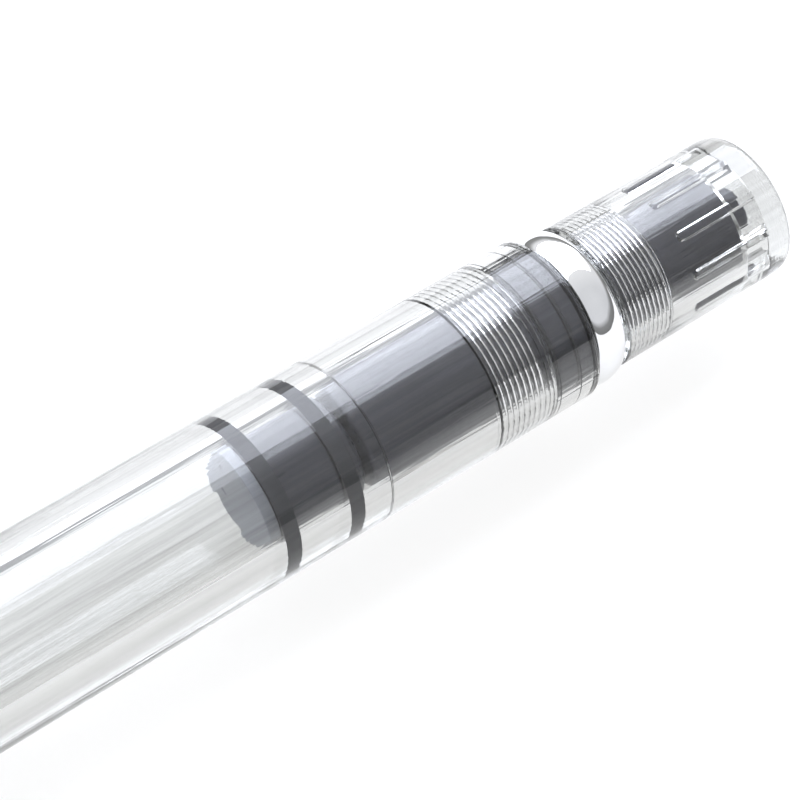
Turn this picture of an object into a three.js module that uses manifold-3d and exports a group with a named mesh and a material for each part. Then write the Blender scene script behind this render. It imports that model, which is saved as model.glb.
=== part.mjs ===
// Clear piston-filling fountain pen with its cap on.
// Millimetres. +X runs along the pen out of its tail, +Z is up, and the origin is the middle of the
// filling knob's flat end, so every station along the pen is negative.

import * as THREE from 'three';
import { mergeVertices } from 'three/addons/utils/BufferGeometryUtils.js';
import Module from 'manifold-3d';

const wasm = await Module();
wasm.setup();

// ---- driving dimensions -------------------------------------------------------------------------

const SIDES = 32; // sides of a turned piece
const SMALL_GAP = 0.1; // running clearance between pieces that fit in each other

const BARREL_RADIUS = 6.5;
const KNOB_RADIUS = 5.84;
const CAP_RADIUS = 7.3;
const CHAMBER_RADIUS = 4.06; // polished bore that the piston runs in
const HOUSING_BORE = 4.4; // wider bore behind it, for the mechanism
const COLLAR_BORE = 5.35; // counterbore at the barrel's rear end
const HEAD_RADIUS = 3.8;
const CORE_RADIUS = 3.85;

const RING_REAR = -16.3; // front end of the knob, rear end of the chrome ring
const BARREL_REAR = -19.6;
const COLLAR_FRONT = -23.3;
const BORE_STEP = -37.9; // where the housing's bore narrows to the chamber
const CHAMBER_FRONT = -75.0; // rear end of the section's tenon bore
const BARREL_SHOULDER = -78.3; // the cap's lip stands against this
const BARREL_FRONT = -84.0;

const FLANGE = { radius: 5.2, front: -23.2, rear: -19.75 }; // collar of the mechanism's housing
const FLANGE_GROOVES = [-22.95, -21.05]; // middles of its two O-ring grooves
const O_RING = { wire: 0.16, floor: 4.97 };
const TAIL_RING_RADIUS = 6.28;

const BARREL_THREAD = { from: -28.4, to: -23.5, pitch: 0.49, depth: 0.3 };
const KNOB_THREAD = { from: -15.8, to: -11.6, pitch: 0.42, depth: 0.25 };
const CAP_THREAD = { from: -82.9, to: -79.3, pitch: 1.2, depth: 0.22 };

const HEAD_FRONT = -47.36;
const HEAD_REAR = -39.3;
const FRONT_SEAL = { from: -47.03, to: -45.75 };
const REAR_SEAL = { from: -41.5, to: -40.24 };
const SEAL_GROOVE = 3.2; // radius of the floor of a seal's groove
const CROWN_THICKNESS = 0.55;
const CROWN_RADIUS = 3.85;
const CROWN_RECESS_RADIUS = 2.9; // of the floor of the recess in its rim
const CROWN_RECESS_START = THREE.MathUtils.degToRad(-8.4); // from straight down
const CROWN_RECESS_SPAN = THREE.MathUtils.degToRad(70);
const CROWN_STEM = 1.1;
const ROD_SOCKET = -44.5; // floor of the rod's socket in the piston head

const ROD_RADIUS = 1.95;
const ROD_FLAT = 1.45; // half the width across the rod's two flats
const ROD_REAR = -6.2;
const HOUSING_FRONT = -38.9;
const HOUSING_CAVITY = -37.2; // front end of the drive tube's room in the housing
const DRIVE_TUBE_RADIUS = 3.3;
const DRIVE_TUBE_BORE = 2.3;
const CORE_END = -4.1;
const CORE_STUB = { radius: 1.82, end: -1.75 };
const WASHER = { front: -19.6, rear: -19.2 };
const NUT = { radius: 2.85, length: 5.2 };

const KNOB_BORE = 4.05;
const KNOB_THREAD_BORE = 4.25;
const KNOB_WALL_FRONT = -1.5; // inner face of the knob's end wall
const STUB_CHAMBER = 3.2;
const KNOB_ROUNDING = 1.1;

const GROOVE_COUNT = 9; // grooves along the knob's bore
const GROOVE = { from: -9.1, to: -1.6, width: 0.95, depth: 0.35 };
const GROOVE_TURN = THREE.MathUtils.degToRad(30.2); // from straight up to the first groove

const SECTION_LIP = -101.8; // front end of the grip, behind the chrome ring
const SECTION_FRONT = -104.0;
const TENON_RADIUS = 4.85;
const SECTION_BORE = 4.0;
const SECTION_SEAL = { middle: -81.9, wire: 0.25 };
const INK_HOLE = 2.6;
const GRIP = { rear: 5.65, front: 4.8 }; // its radius at each end
const NIB_HOUSING = { front: -103.6, rear: -83.3, inner: 3.42, outer: 3.9 };
const NIB_TIP = -126.0;
const NIB_REAR = -97.0;
const NIB_RADIUS = 3.35;
const NIB_SHEET = 0.28;
const BREATHER = { station: -111, radius: 0.6 };
const FEED = { radius: 3.0, front: -123, rear: -85 };

const CAP_LIP = -78.6;
const CAP_TOP = -135.2; // top face of the cap's shell, under the clip's ring
const BAND = { front: -82.0, rear: -79.0, radius: 7.5 };
const SHELL_BORE = 6.4;
const INNER_CAP = { front: -132.2, rear: -86.0, outer: 6.1, wall: 0.35, end: 0.7 };
const CLIP_RING = { top: -137.3, radius: 7.0 };
const FINIAL_RADIUS = 6.9;
const STEM = 2.4; // radius of the finial's screw
const PEN_FRONT = -140.0;
const CLIP_TURN = THREE.MathUtils.degToRad(157); // from straight up: it props the pen on a table
const CLIP_END = -98.8;
const CLIP_WIDTH = 2.4;
const CLIP_BALL = 1.05;
const TONGUE = { top: -136.3, under: -135.4, root: 5.6 }; // the clip's root, in its ring's slot

// ---- materials ----------------------------------------------------------------------------------

function finish(color, roughness, metalness) {
  return new THREE.MeshStandardMaterial({ color, roughness, metalness });
}

const clearPlastic = finish(0xeceeec, 0.05, 0.0);
const greyPlastic = finish(0x63656b, 0.3, 0.0);
const paleGreyPlastic = finish(0xb9bbc2, 0.35, 0.0);
const sealRubber = finish(0x4c4c4f, 0.6, 0.0);
const blackPlastic = finish(0x1c1c1e, 0.45, 0.0);
const chrome = finish(0xe6e7ea, 0.08, 1.0);
const steel = finish(0xc9cacc, 0.22, 1.0);
const brass = finish(0xc4a25a, 0.3, 1.0);

// ---- geometry helpers ---------------------------------------------------------------------------

// A turned body about the X axis. The outline is a list of [station, radius]: it either starts and
// ends on the axis, or is closed on itself here.
function turned(outline, sides = SIDES) {
  const points = outline.map(([station, radius]) => new THREE.Vector2(radius, station));
  const onAxis = outline[0][1] === 0;
  if (THREE.ShapeUtils.area(points) < 0) points.reverse();
  if (!onAxis) points.push(points[0].clone());
  return new THREE.LatheGeometry(points, sides).rotateZ(-Math.PI / 2);
}

// A ring or tube of plain section.
function tube(from, to, inner, outer) {
  return turned([[from, inner], [from, outer], [to, outer], [to, inner]]);
}

// The crests of a thread, as rings: points from one end of the thread to the other.
function ridges({ from, to, pitch }, root, crest) {
  const count = Math.floor((to - from) / pitch);
  const points = [];
  for (let turn = 0; turn < count; turn += 1) {
    const start = from + turn * pitch;
    points.push([start, root], [start + pitch / 2, crest]);
  }
  points.push([from + count * pitch, root]);
  return points;
}

function backwards(points) {
  return [...points].reverse();
}

// A flat outline in the Y-Z plane, extruded along X between two stations.
function prism(shape, from, to) {
  const settings = { depth: to - from, bevelEnabled: false, curveSegments: 6 };
  const geometry = new THREE.ExtrudeGeometry(shape, settings);
  return geometry.rotateY(Math.PI / 2).translate(from, 0, 0);
}

function box(from, to, width, low, high) {
  const geometry = new THREE.BoxGeometry(to - from, width, high - low);
  return geometry.translate((from + to) / 2, 0, (low + high) / 2);
}

function solidOf(geometry) {
  const bare = geometry.clone();
  bare.deleteAttribute('normal');
  bare.deleteAttribute('uv');
  const merged = mergeVertices(bare, 1e-5);
  const mesh = new wasm.Mesh({
    numProp: 3,
    vertProperties: new Float32Array(merged.attributes.position.array),
    triVerts: new Uint32Array(merged.index.array),
  });
  mesh.merge();
  return new wasm.Manifold(mesh);
}

function geometryOf(solid) {
  const mesh = solid.getMesh();
  const geometry = new THREE.BufferGeometry();
  geometry.setAttribute('position', new THREE.BufferAttribute(mesh.vertProperties, 3));
  geometry.setIndex(new THREE.BufferAttribute(mesh.triVerts, 1));
  geometry.computeVertexNormals();
  return geometry;
}

function cut(geometry, ...tools) {
  return geometryOf(tools.reduce((solid, tool) => solid.subtract(solidOf(tool)), solidOf(geometry)));
}

function common(first, second) {
  return geometryOf(solidOf(first).intersect(solidOf(second)));
}

function join(first, second) {
  return geometryOf(solidOf(first).add(solidOf(second)));
}

function piece(name, geometry, material) {
  const mesh = new THREE.Mesh(geometry, material);
  mesh.name = name;
  return mesh;
}

function group(...children) {
  const made = new THREE.Group();
  made.add(...children);
  return made;
}

// ---- barrel -------------------------------------------------------------------------------------

function barrelGeometry() {
  const threadFloor = HOUSING_BORE + BARREL_THREAD.depth;
  const capRoot = BARREL_RADIUS - 0.5;
  return turned([
    [BARREL_REAR, COLLAR_BORE],
    [BARREL_REAR, BARREL_RADIUS - 0.12],
    [BARREL_REAR - 0.12, BARREL_RADIUS],
    [BARREL_SHOULDER, BARREL_RADIUS],
    [BARREL_SHOULDER, capRoot],
    ...backwards(ridges(CAP_THREAD, capRoot, capRoot + CAP_THREAD.depth)),
    [BARREL_FRONT, capRoot],
    [BARREL_FRONT, TENON_RADIUS + SMALL_GAP],
    [CHAMBER_FRONT, TENON_RADIUS + SMALL_GAP],
    [CHAMBER_FRONT, CHAMBER_RADIUS],
    [BORE_STEP, CHAMBER_RADIUS],
    [BORE_STEP, HOUSING_BORE],
    ...ridges(BARREL_THREAD, HOUSING_BORE, threadFloor),
    [COLLAR_FRONT, HOUSING_BORE],
    [COLLAR_FRONT, COLLAR_BORE],
  ]);
}

// ---- filling mechanism --------------------------------------------------------------------------

// Outline of the rod's section: a round with two flats.
function rodShape(radius, flat) {
  const corner = Math.acos(flat / radius);
  const shape = new THREE.Shape();
  shape.absarc(0, 0, radius, corner, Math.PI - corner, false);
  shape.absarc(0, 0, radius, Math.PI + corner, 2 * Math.PI - corner, false);
  shape.closePath();
  return shape;
}

function housingGeometry() {
  const groove = (middle) => [
    [middle - O_RING.wire - 0.03, FLANGE.radius],
    [middle - O_RING.wire - 0.03, O_RING.floor - 0.03],
    [middle + O_RING.wire + 0.03, O_RING.floor - 0.03],
    [middle + O_RING.wire + 0.03, FLANGE.radius],
  ];
  const neck = CHAMBER_RADIUS - SMALL_GAP;
  const body = HOUSING_BORE - 0.15;
  const shell = turned([
    [HOUSING_FRONT, 0],
    [HOUSING_FRONT, neck - 0.35],
    [HOUSING_FRONT + 0.35, neck],
    [BORE_STEP + SMALL_GAP, neck],
    [BORE_STEP + SMALL_GAP, body],
    [FLANGE.front, body],
    ...FLANGE_GROOVES.flatMap(groove),
    [FLANGE.rear, FLANGE.radius],
    [FLANGE.rear, DRIVE_TUBE_RADIUS + SMALL_GAP],
    [HOUSING_CAVITY, DRIVE_TUBE_RADIUS + SMALL_GAP],
    [HOUSING_CAVITY, 0],
  ]);
  const keyhole = rodShape(ROD_RADIUS + SMALL_GAP, ROD_FLAT + SMALL_GAP);
  const hole = prism(keyhole, HOUSING_FRONT - 1, HOUSING_CAVITY + 1);
  return cut(shell, hole);
}

function oRing(middle, wire, floor, sides = 8) {
  const outline = [];
  for (let corner = 0; corner < sides; corner += 1) {
    const angle = ((corner + 0.5) / sides) * 2 * Math.PI;
    outline.push([middle + wire * Math.cos(angle), floor + wire + wire * Math.sin(angle)]);
  }
  return turned(outline);
}

function tailRingGeometry() {
  return turned([
    [BARREL_REAR + 0.1, CORE_RADIUS + 0.25],
    [BARREL_REAR + 0.1, TAIL_RING_RADIUS - 0.4],
    [BARREL_REAR + 0.4, TAIL_RING_RADIUS - 0.1],
    [BARREL_REAR + 1.0, TAIL_RING_RADIUS],
    [BARREL_REAR + 1.8, TAIL_RING_RADIUS - 0.08],
    [BARREL_REAR + 2.6, TAIL_RING_RADIUS - 0.28],
    [RING_REAR - 0.1, TAIL_RING_RADIUS - 0.6],
    [RING_REAR - 0.1, CORE_RADIUS + 0.25],
  ]);
}

function coreGeometry() {
  const tubeFront = HOUSING_CAVITY + 0.2;
  const nutSeat = tubeFront + NUT.length;
  return turned([
    [tubeFront, NUT.radius + 0.05],
    [tubeFront, DRIVE_TUBE_RADIUS],
    [WASHER.rear + SMALL_GAP, DRIVE_TUBE_RADIUS],
    [WASHER.rear + SMALL_GAP, CORE_RADIUS],
    ...ridges(KNOB_THREAD, CORE_RADIUS, CORE_RADIUS + KNOB_THREAD.depth),
    [CORE_END, CORE_RADIUS],
    [CORE_END, CORE_STUB.radius],
    [CORE_STUB.end - 0.5, CORE_STUB.radius],
    [CORE_STUB.end, CORE_STUB.radius - 0.5],
    [CORE_STUB.end, 0],
    [CORE_END - 1.0, 0],
    [CORE_END - 1.0, DRIVE_TUBE_BORE],
    [nutSeat, DRIVE_TUBE_BORE],
    [nutSeat, NUT.radius + 0.05],
  ]);
}

function nutGeometry() {
  const front = HOUSING_CAVITY + 0.25;
  return tube(front, front + NUT.length - 0.15, ROD_RADIUS + SMALL_GAP, NUT.radius);
}

function knobGeometry() {
  const threadFloor = KNOB_THREAD_BORE + KNOB_THREAD.depth;
  const shell = turned([
    [RING_REAR + 0.1, KNOB_THREAD_BORE],
    [RING_REAR + 0.1, KNOB_RADIUS],
    [-KNOB_ROUNDING, KNOB_RADIUS],
    [-KNOB_ROUNDING * 0.5, KNOB_RADIUS - KNOB_ROUNDING * 0.13],
    [-KNOB_ROUNDING * 0.13, KNOB_RADIUS - KNOB_ROUNDING * 0.5],
    [0, KNOB_RADIUS - KNOB_ROUNDING],
    [0, 0],
    [KNOB_WALL_FRONT, 0],
    [KNOB_WALL_FRONT, STUB_CHAMBER],
    [CORE_END + SMALL_GAP, STUB_CHAMBER],
    [CORE_END + SMALL_GAP, KNOB_BORE],
    [KNOB_THREAD.to, KNOB_BORE],
    ...backwards(ridges(KNOB_THREAD, KNOB_THREAD_BORE, threadFloor)),
  ]);
  const grooves = [];
  for (let index = 0; index < GROOVE_COUNT; index += 1) {
    const turn = GROOVE_TURN + (index * 2 * Math.PI) / GROOVE_COUNT;
    const floor = KNOB_BORE + GROOVE.depth;
    const groove = box(GROOVE.from, GROOVE.to, GROOVE.width, STUB_CHAMBER - 0.3, floor);
    grooves.push(groove.rotateX(turn));
  }
  return cut(shell, ...grooves);
}

// ---- piston -------------------------------------------------------------------------------------

function pistonHeadGeometry() {
  const groove = ({ from, to }) => [
    [from - 0.05, HEAD_RADIUS],
    [from - 0.05, SEAL_GROOVE],
    [to + 0.05, SEAL_GROOVE],
    [to + 0.05, HEAD_RADIUS],
  ];
  return turned([
    [HEAD_FRONT, CROWN_STEM + SMALL_GAP],
    [HEAD_FRONT, HEAD_RADIUS],
    ...groove(FRONT_SEAL),
    ...groove(REAR_SEAL),
    [HEAD_REAR - 0.45, HEAD_RADIUS],
    [HEAD_REAR, HEAD_RADIUS - 0.6],
    [HEAD_REAR, ROD_RADIUS + 0.05],
    [ROD_SOCKET, ROD_RADIUS + 0.05],
    [ROD_SOCKET, CROWN_STEM + SMALL_GAP],
  ]);
}

function sealGeometry({ from, to }) {
  return tube(from, to, SEAL_GROOVE + 0.05, CHAMBER_RADIUS - 0.05);
}

// A round plate with a shallow recess in its rim, on a stem that plugs into the head.
function crownGeometry() {
  const recessEnd = CROWN_RECESS_START + CROWN_RECESS_SPAN;
  const far = recessEnd + Math.PI;
  const shape = new THREE.Shape();
  shape.absarc(0, 0, CROWN_RECESS_RADIUS, CROWN_RECESS_START, recessEnd, false);
  shape.absarc(0, 0, CROWN_RADIUS, recessEnd, far, false);
  shape.absarc(0, 0, CROWN_RADIUS, far, CROWN_RECESS_START + 2 * Math.PI, false);
  shape.closePath();
  const front = HEAD_FRONT - 0.05 - CROWN_THICKNESS;
  const plate = prism(shape, front, HEAD_FRONT - 0.05);
  const stemFront = front + 0.2;
  const stemRear = ROD_SOCKET - 0.3;
  const stemOutline = [[stemFront, 0], [stemFront, CROWN_STEM], [stemRear, CROWN_STEM], [stemRear, 0]];
  const stem = turned(stemOutline, 16);
  return join(plate, stem);
}

function rodGeometry() {
  return prism(rodShape(ROD_RADIUS, ROD_FLAT), ROD_SOCKET + SMALL_GAP, ROD_REAR);
}

// ---- writing end --------------------------------------------------------------------------------

function sectionGeometry() {
  const grooveRear = SECTION_SEAL.middle + 0.4;
  const grooveFront = SECTION_SEAL.middle - 0.4;
  const boreRear = NIB_HOUSING.rear + 0.3;
  return turned([
    [CHAMBER_FRONT - 0.2, INK_HOLE],
    [CHAMBER_FRONT - 0.2, TENON_RADIUS],
    [grooveRear, TENON_RADIUS],
    [grooveRear, TENON_RADIUS - 0.5],
    [grooveFront, TENON_RADIUS - 0.5],
    [grooveFront, TENON_RADIUS],
    [BARREL_FRONT - 0.1, TENON_RADIUS],
    [BARREL_FRONT - 0.1, GRIP.rear],
    [-90, GRIP.rear - 0.2],
    [-98, GRIP.front + 0.15],
    [SECTION_LIP, GRIP.front],
    [SECTION_LIP, SECTION_BORE],
    [boreRear, SECTION_BORE],
    [boreRear, INK_HOLE],
  ]);
}

function sectionRingGeometry() {
  const rear = SECTION_LIP - 0.1;
  const edge = GRIP.front + 0.05;
  return turned([
    [rear, SECTION_BORE + 0.05],
    [rear, edge],
    [rear - 0.8, edge + 0.35],
    [SECTION_FRONT + 0.5, edge + 0.35],
    [SECTION_FRONT, edge],
    [SECTION_FRONT, SECTION_BORE + 0.05],
  ]);
}

function nibHousingGeometry() {
  return tube(NIB_HOUSING.front, NIB_HOUSING.rear, NIB_HOUSING.inner, NIB_HOUSING.outer);
}

// The nib is sheet steel: the outline seen from above, cut out of a thin tapering shell.
function nibGeometry() {
  const shell = turned([
    [NIB_REAR, NIB_RADIUS - NIB_SHEET],
    [NIB_REAR, NIB_RADIUS],
    [-108, NIB_RADIUS],
    [-116, NIB_RADIUS - 0.75],
    [NIB_TIP - 0.5, 0.75],
    [NIB_TIP - 0.5, 0.75 - NIB_SHEET],
    [-116, NIB_RADIUS - 0.75 - NIB_SHEET],
    [-108, NIB_RADIUS - NIB_SHEET],
  ]);
  const outline = new THREE.Shape();
  outline.moveTo(NIB_REAR - 0.1, -3.0);
  outline.lineTo(-107, -3.05);
  outline.quadraticCurveTo(-115, -2.7, NIB_TIP, -0.45);
  outline.absarc(NIB_TIP, 0, 0.45, -Math.PI / 2, Math.PI / 2, true);
  outline.quadraticCurveTo(-115, 2.7, -107, 3.05);
  outline.lineTo(NIB_REAR - 0.1, 3.0);
  outline.closePath();
  const blank = new THREE.ExtrudeGeometry(outline, { depth: 4, bevelEnabled: false, curveSegments: 6 });
  const drill = new THREE.CylinderGeometry(BREATHER.radius, BREATHER.radius, 10, 12);
  const breather = drill.rotateX(Math.PI / 2).translate(BREATHER.station, 0, 0);
  const slit = box(NIB_TIP - 1, BREATHER.station, 0.16, -1, 4);
  return cut(common(shell, blank), breather, slit);
}

// The feed has a rounded belly with fins cut across it and is flat on top, where the nib lies.
function feedGeometry() {
  const rows = { from: -113.6, to: -105.0, pitch: 1.4 };
  const fins = ridges(rows, FEED.radius - 0.1, FEED.radius - 0.8);
  const round = turned([
    [FEED.rear, 0],
    [FEED.rear, 1.6],
    [-92, 1.6],
    [-92, FEED.radius],
    ...backwards(fins),
    [-114, FEED.radius - 0.35],
    [FEED.front, 0.5],
    [FEED.front, 0],
  ]);
  const lid = box(-124, -97.5, 8, 0.9, 5);
  const underNib = box(-124, -107, 8, -0.25, 5);
  return cut(round, lid, underNib);
}

// ---- cap ----------------------------------------------------------------------------------------

function capShellGeometry() {
  const top = CAP_RADIUS - 0.35;
  return turned([
    [CAP_LIP, SHELL_BORE],
    [CAP_LIP, CAP_RADIUS - 0.1],
    [BAND.rear + SMALL_GAP, CAP_RADIUS],
    [BAND.rear + SMALL_GAP, CAP_RADIUS - 0.3],
    [BAND.front - SMALL_GAP, CAP_RADIUS - 0.3],
    [BAND.front - SMALL_GAP, CAP_RADIUS],
    [CAP_TOP, top],
    [CAP_TOP, STEM + SMALL_GAP],
    [CAP_TOP + 0.9, STEM + SMALL_GAP],
    [CAP_TOP + 0.9, SHELL_BORE - 0.2],
  ]);
}

function bandGeometry() {
  return turned([
    [BAND.rear, CAP_RADIUS - 0.2],
    [BAND.rear, BAND.radius - 0.1],
    [BAND.rear - 0.1, BAND.radius],
    [BAND.front + 0.1, BAND.radius],
    [BAND.front, BAND.radius - 0.1],
    [BAND.front, CAP_RADIUS - 0.2],
  ]);
}

function innerCapGeometry() {
  const inner = INNER_CAP.outer - INNER_CAP.wall;
  return turned([
    [INNER_CAP.rear, inner],
    [INNER_CAP.rear, INNER_CAP.outer],
    [INNER_CAP.front, INNER_CAP.outer],
    [INNER_CAP.front, 0],
    [INNER_CAP.front + INNER_CAP.end, 0],
    [INNER_CAP.front + INNER_CAP.end, inner],
  ]);
}

function clipRingGeometry() {
  const { top, radius } = CLIP_RING;
  const ring = turned([
    [CAP_TOP - SMALL_GAP, STEM + SMALL_GAP],
    [CAP_TOP - SMALL_GAP, radius],
    [top + 0.15, radius],
    [top, radius - 0.15],
    [top, STEM + SMALL_GAP],
  ]);
  const slot = box(TONGUE.top - 0.2, CAP_TOP, CLIP_WIDTH + 0.4, TONGUE.root - 0.3, radius + 1);
  return cut(ring, slot.rotateX(-CLIP_TURN));
}

function finialGeometry() {
  const seat = CLIP_RING.top - SMALL_GAP;
  return turned([
    [seat, FINIAL_RADIUS],
    [PEN_FRONT + 1.4, FINIAL_RADIUS - 0.2],
    [PEN_FRONT + 0.5, FINIAL_RADIUS - 1.0],
    [PEN_FRONT, FINIAL_RADIUS - 2.4],
    [PEN_FRONT, 0],
    [CAP_TOP + 2.4, 0],
    [CAP_TOP + 2.4, STEM],
    [seat, STEM],
  ]);
}

function finialNutGeometry() {
  return tube(CAP_TOP + 1.0, CAP_TOP + 2.3, STEM + 0.05, 4.6);
}

// The clip is a bent strip with a ball at its free end, drawn above the cap and turned into place.
function clipGeometry() {
  const side = new THREE.Shape();
  side.moveTo(TONGUE.top, TONGUE.root);
  side.lineTo(TONGUE.top, 8.6);
  side.quadraticCurveTo(TONGUE.top, 9.3, TONGUE.top + 0.9, 9.3);
  side.quadraticCurveTo(-116, 9.5, CLIP_END + 1.2, 8.9);
  side.lineTo(CLIP_END + 1.2, 8.2);
  side.quadraticCurveTo(-116, 8.8, TONGUE.under + 0.6, 8.6);
  side.quadraticCurveTo(TONGUE.under, 8.6, TONGUE.under, 8.0);
  side.lineTo(TONGUE.under, TONGUE.root);
  side.closePath();
  const settings = { depth: CLIP_WIDTH, bevelEnabled: false, curveSegments: 8 };
  const strip = new THREE.ExtrudeGeometry(side, settings);
  strip.translate(0, 0, -CLIP_WIDTH / 2).rotateX(Math.PI / 2);
  const ball = new THREE.SphereGeometry(CLIP_BALL, 16, 12).translate(CLIP_END, 0, 8.45);
  return join(strip, ball).rotateX(-CLIP_TURN);
}

// ---- assembly -----------------------------------------------------------------------------------

const barrelUnit = group(
  piece('barrel', barrelGeometry(), clearPlastic),
  piece('mechanism_housing', housingGeometry(), greyPlastic),
  piece('housing_o_ring_front', oRing(FLANGE_GROOVES[0], O_RING.wire, O_RING.floor), sealRubber),
  piece('housing_o_ring_rear', oRing(FLANGE_GROOVES[1], O_RING.wire, O_RING.floor), sealRubber),
  piece('tail_ring', tailRingGeometry(), chrome),
  piece('thrust_washer', tube(WASHER.front, WASHER.rear, 3.45, 4.0), steel),
);

const writingEnd = group(
  piece('grip_section', sectionGeometry(), clearPlastic),
  piece('section_o_ring', oRing(SECTION_SEAL.middle, SECTION_SEAL.wire, TENON_RADIUS - 0.45), sealRubber),
  piece('section_ring', sectionRingGeometry(), chrome),
  piece('nib_housing', nibHousingGeometry(), blackPlastic),
  piece('nib', nibGeometry(), steel),
  piece('feed', feedGeometry(), blackPlastic),
);

const knob = group(
  piece('knob_shell', knobGeometry(), clearPlastic),
  piece('drive_core', coreGeometry(), greyPlastic),
  piece('drive_nut', nutGeometry(), brass),
);

const piston = group(
  piece('piston_head', pistonHeadGeometry(), greyPlastic),
  piece('piston_crown', crownGeometry(), paleGreyPlastic),
  piece('front_seal', sealGeometry(FRONT_SEAL), sealRubber),
  piece('rear_seal', sealGeometry(REAR_SEAL), sealRubber),
  piece('piston_rod', rodGeometry(), paleGreyPlastic),
);

const cap = group(
  piece('cap_shell', capShellGeometry(), clearPlastic),
  piece('cap_band', bandGeometry(), chrome),
  piece('inner_cap', innerCapGeometry(), clearPlastic),
  piece('clip_ring', clipRingGeometry(), chrome),
  piece('cap_finial', finialGeometry(), clearPlastic),
  piece('finial_nut', finialNutGeometry(), brass),
  piece('clip', clipGeometry(), chrome),
);

export default group(barrelUnit, writingEnd, knob, piston, cap);
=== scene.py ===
import logging
import math
from collections.abc import Callable
from dataclasses import dataclass, field
from enum import Enum
from typing import Protocol

import bmesh
import bpy
from mathutils import Matrix, Vector


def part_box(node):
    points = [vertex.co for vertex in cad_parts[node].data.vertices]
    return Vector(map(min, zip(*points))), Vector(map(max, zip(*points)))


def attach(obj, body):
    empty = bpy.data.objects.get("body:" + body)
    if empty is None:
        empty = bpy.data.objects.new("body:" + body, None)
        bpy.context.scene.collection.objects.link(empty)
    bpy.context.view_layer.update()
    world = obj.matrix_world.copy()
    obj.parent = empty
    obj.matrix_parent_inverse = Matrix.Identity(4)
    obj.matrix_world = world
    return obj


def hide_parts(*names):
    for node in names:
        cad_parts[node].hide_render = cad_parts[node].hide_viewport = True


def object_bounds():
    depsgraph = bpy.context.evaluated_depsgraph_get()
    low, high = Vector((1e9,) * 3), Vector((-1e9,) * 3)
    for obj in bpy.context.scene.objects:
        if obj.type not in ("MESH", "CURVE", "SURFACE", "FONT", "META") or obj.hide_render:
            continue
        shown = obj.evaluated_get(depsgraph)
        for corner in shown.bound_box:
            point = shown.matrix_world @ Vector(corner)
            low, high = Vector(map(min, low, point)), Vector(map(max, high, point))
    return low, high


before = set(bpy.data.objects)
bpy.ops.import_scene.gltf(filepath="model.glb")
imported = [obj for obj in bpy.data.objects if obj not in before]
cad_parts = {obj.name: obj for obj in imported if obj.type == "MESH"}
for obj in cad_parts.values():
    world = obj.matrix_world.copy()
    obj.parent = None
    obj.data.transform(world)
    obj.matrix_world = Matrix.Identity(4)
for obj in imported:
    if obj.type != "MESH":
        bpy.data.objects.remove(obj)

logging.basicConfig(level=logging.INFO, format="%(message)s")
LOG = logging.getLogger("fountain_pen")

CAD_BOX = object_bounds()

MM = 0.001  # the sizes below are in millimetres, and Blender's are in metres
TURN = 2 * math.pi
CREASE = math.radians(32)  # edges sharper than this stay crisp
ROD_PITCH = 1.45  # of the steep screw on the piston's rod, and of its nut
ROD_STARTS = 4

Point = tuple[float, float]
Relief = Callable[[float, float, float], float]


class Body(Enum):
    """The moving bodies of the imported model."""

    BARREL = "barrel_unit"
    KNOB = "knob"
    PISTON = "piston"
    CAP = "cap"
    CLIP = "clip"


class Slot(Enum):
    """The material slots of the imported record."""

    CLEAR = "clear_plastic"
    GREY = "grey_plastic"
    PALE = "pale_grey_plastic"
    SEAL = "seal_rubber"
    CHROME = "chrome_trim"
    STEEL = "stainless_steel"
    BLACK = "black_plastic"
    BRASS = "turned_brass"


# ---- nodes and colour ---------------------------------------------------------------------------


def linear(hex_colour: str) -> tuple[float, float, float, float]:
    """Turns an sRGB colour into the linear one that shaders take.

    Args:
        hex_colour: Six hex digits, such as "E6E7EA".

    Returns:
        Red, green, blue and an alpha of one.
    """
    channels = []
    for start in (0, 2, 4):
        value = int(hex_colour[start : start + 2], 16) / 255
        channels.append(value / 12.92 if value <= 0.04045 else ((value + 0.055) / 1.055) ** 2.4)
    return (*channels, 1.0)


def add_node(
    tree: bpy.types.NodeTree,
    kind: str,
    settings: dict[str | int, object] | None = None,
    links: dict[str | int, bpy.types.NodeSocket] | None = None,
) -> bpy.types.Node:
    """Adds one node with its settings and the sockets that feed it.

    Args:
        tree: The node tree that takes the node.
        kind: The node's type name in Blender.
        settings: Values by input name or number, or by property name where there is no such
            input. A colour ramp's "stops" are pairs of a position and an sRGB colour.
        links: Source sockets by input name or number.

    Returns:
        The new node.
    """
    node = tree.nodes.new(kind)
    for key, value in (settings or {}).items():
        if key == "stops":
            elements = node.color_ramp.elements
            while len(elements) < len(value):
                elements.new(0.5)
            for element, (position, colour) in zip(elements, value):
                element.position = position
                element.color = linear(colour)
        elif isinstance(key, int) or key in node.inputs:
            node.inputs[key].default_value = value
        else:
            setattr(node, key, value)
    for key, source in (links or {}).items():
        tree.links.new(source, node.inputs[key])
    return node


def per_mm(size: float) -> float:
    """Returns the texture scale that makes a pattern's repeat this many millimetres long."""
    return 1 / (size * MM)


# ---- finishes -----------------------------------------------------------------------------------


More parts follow.
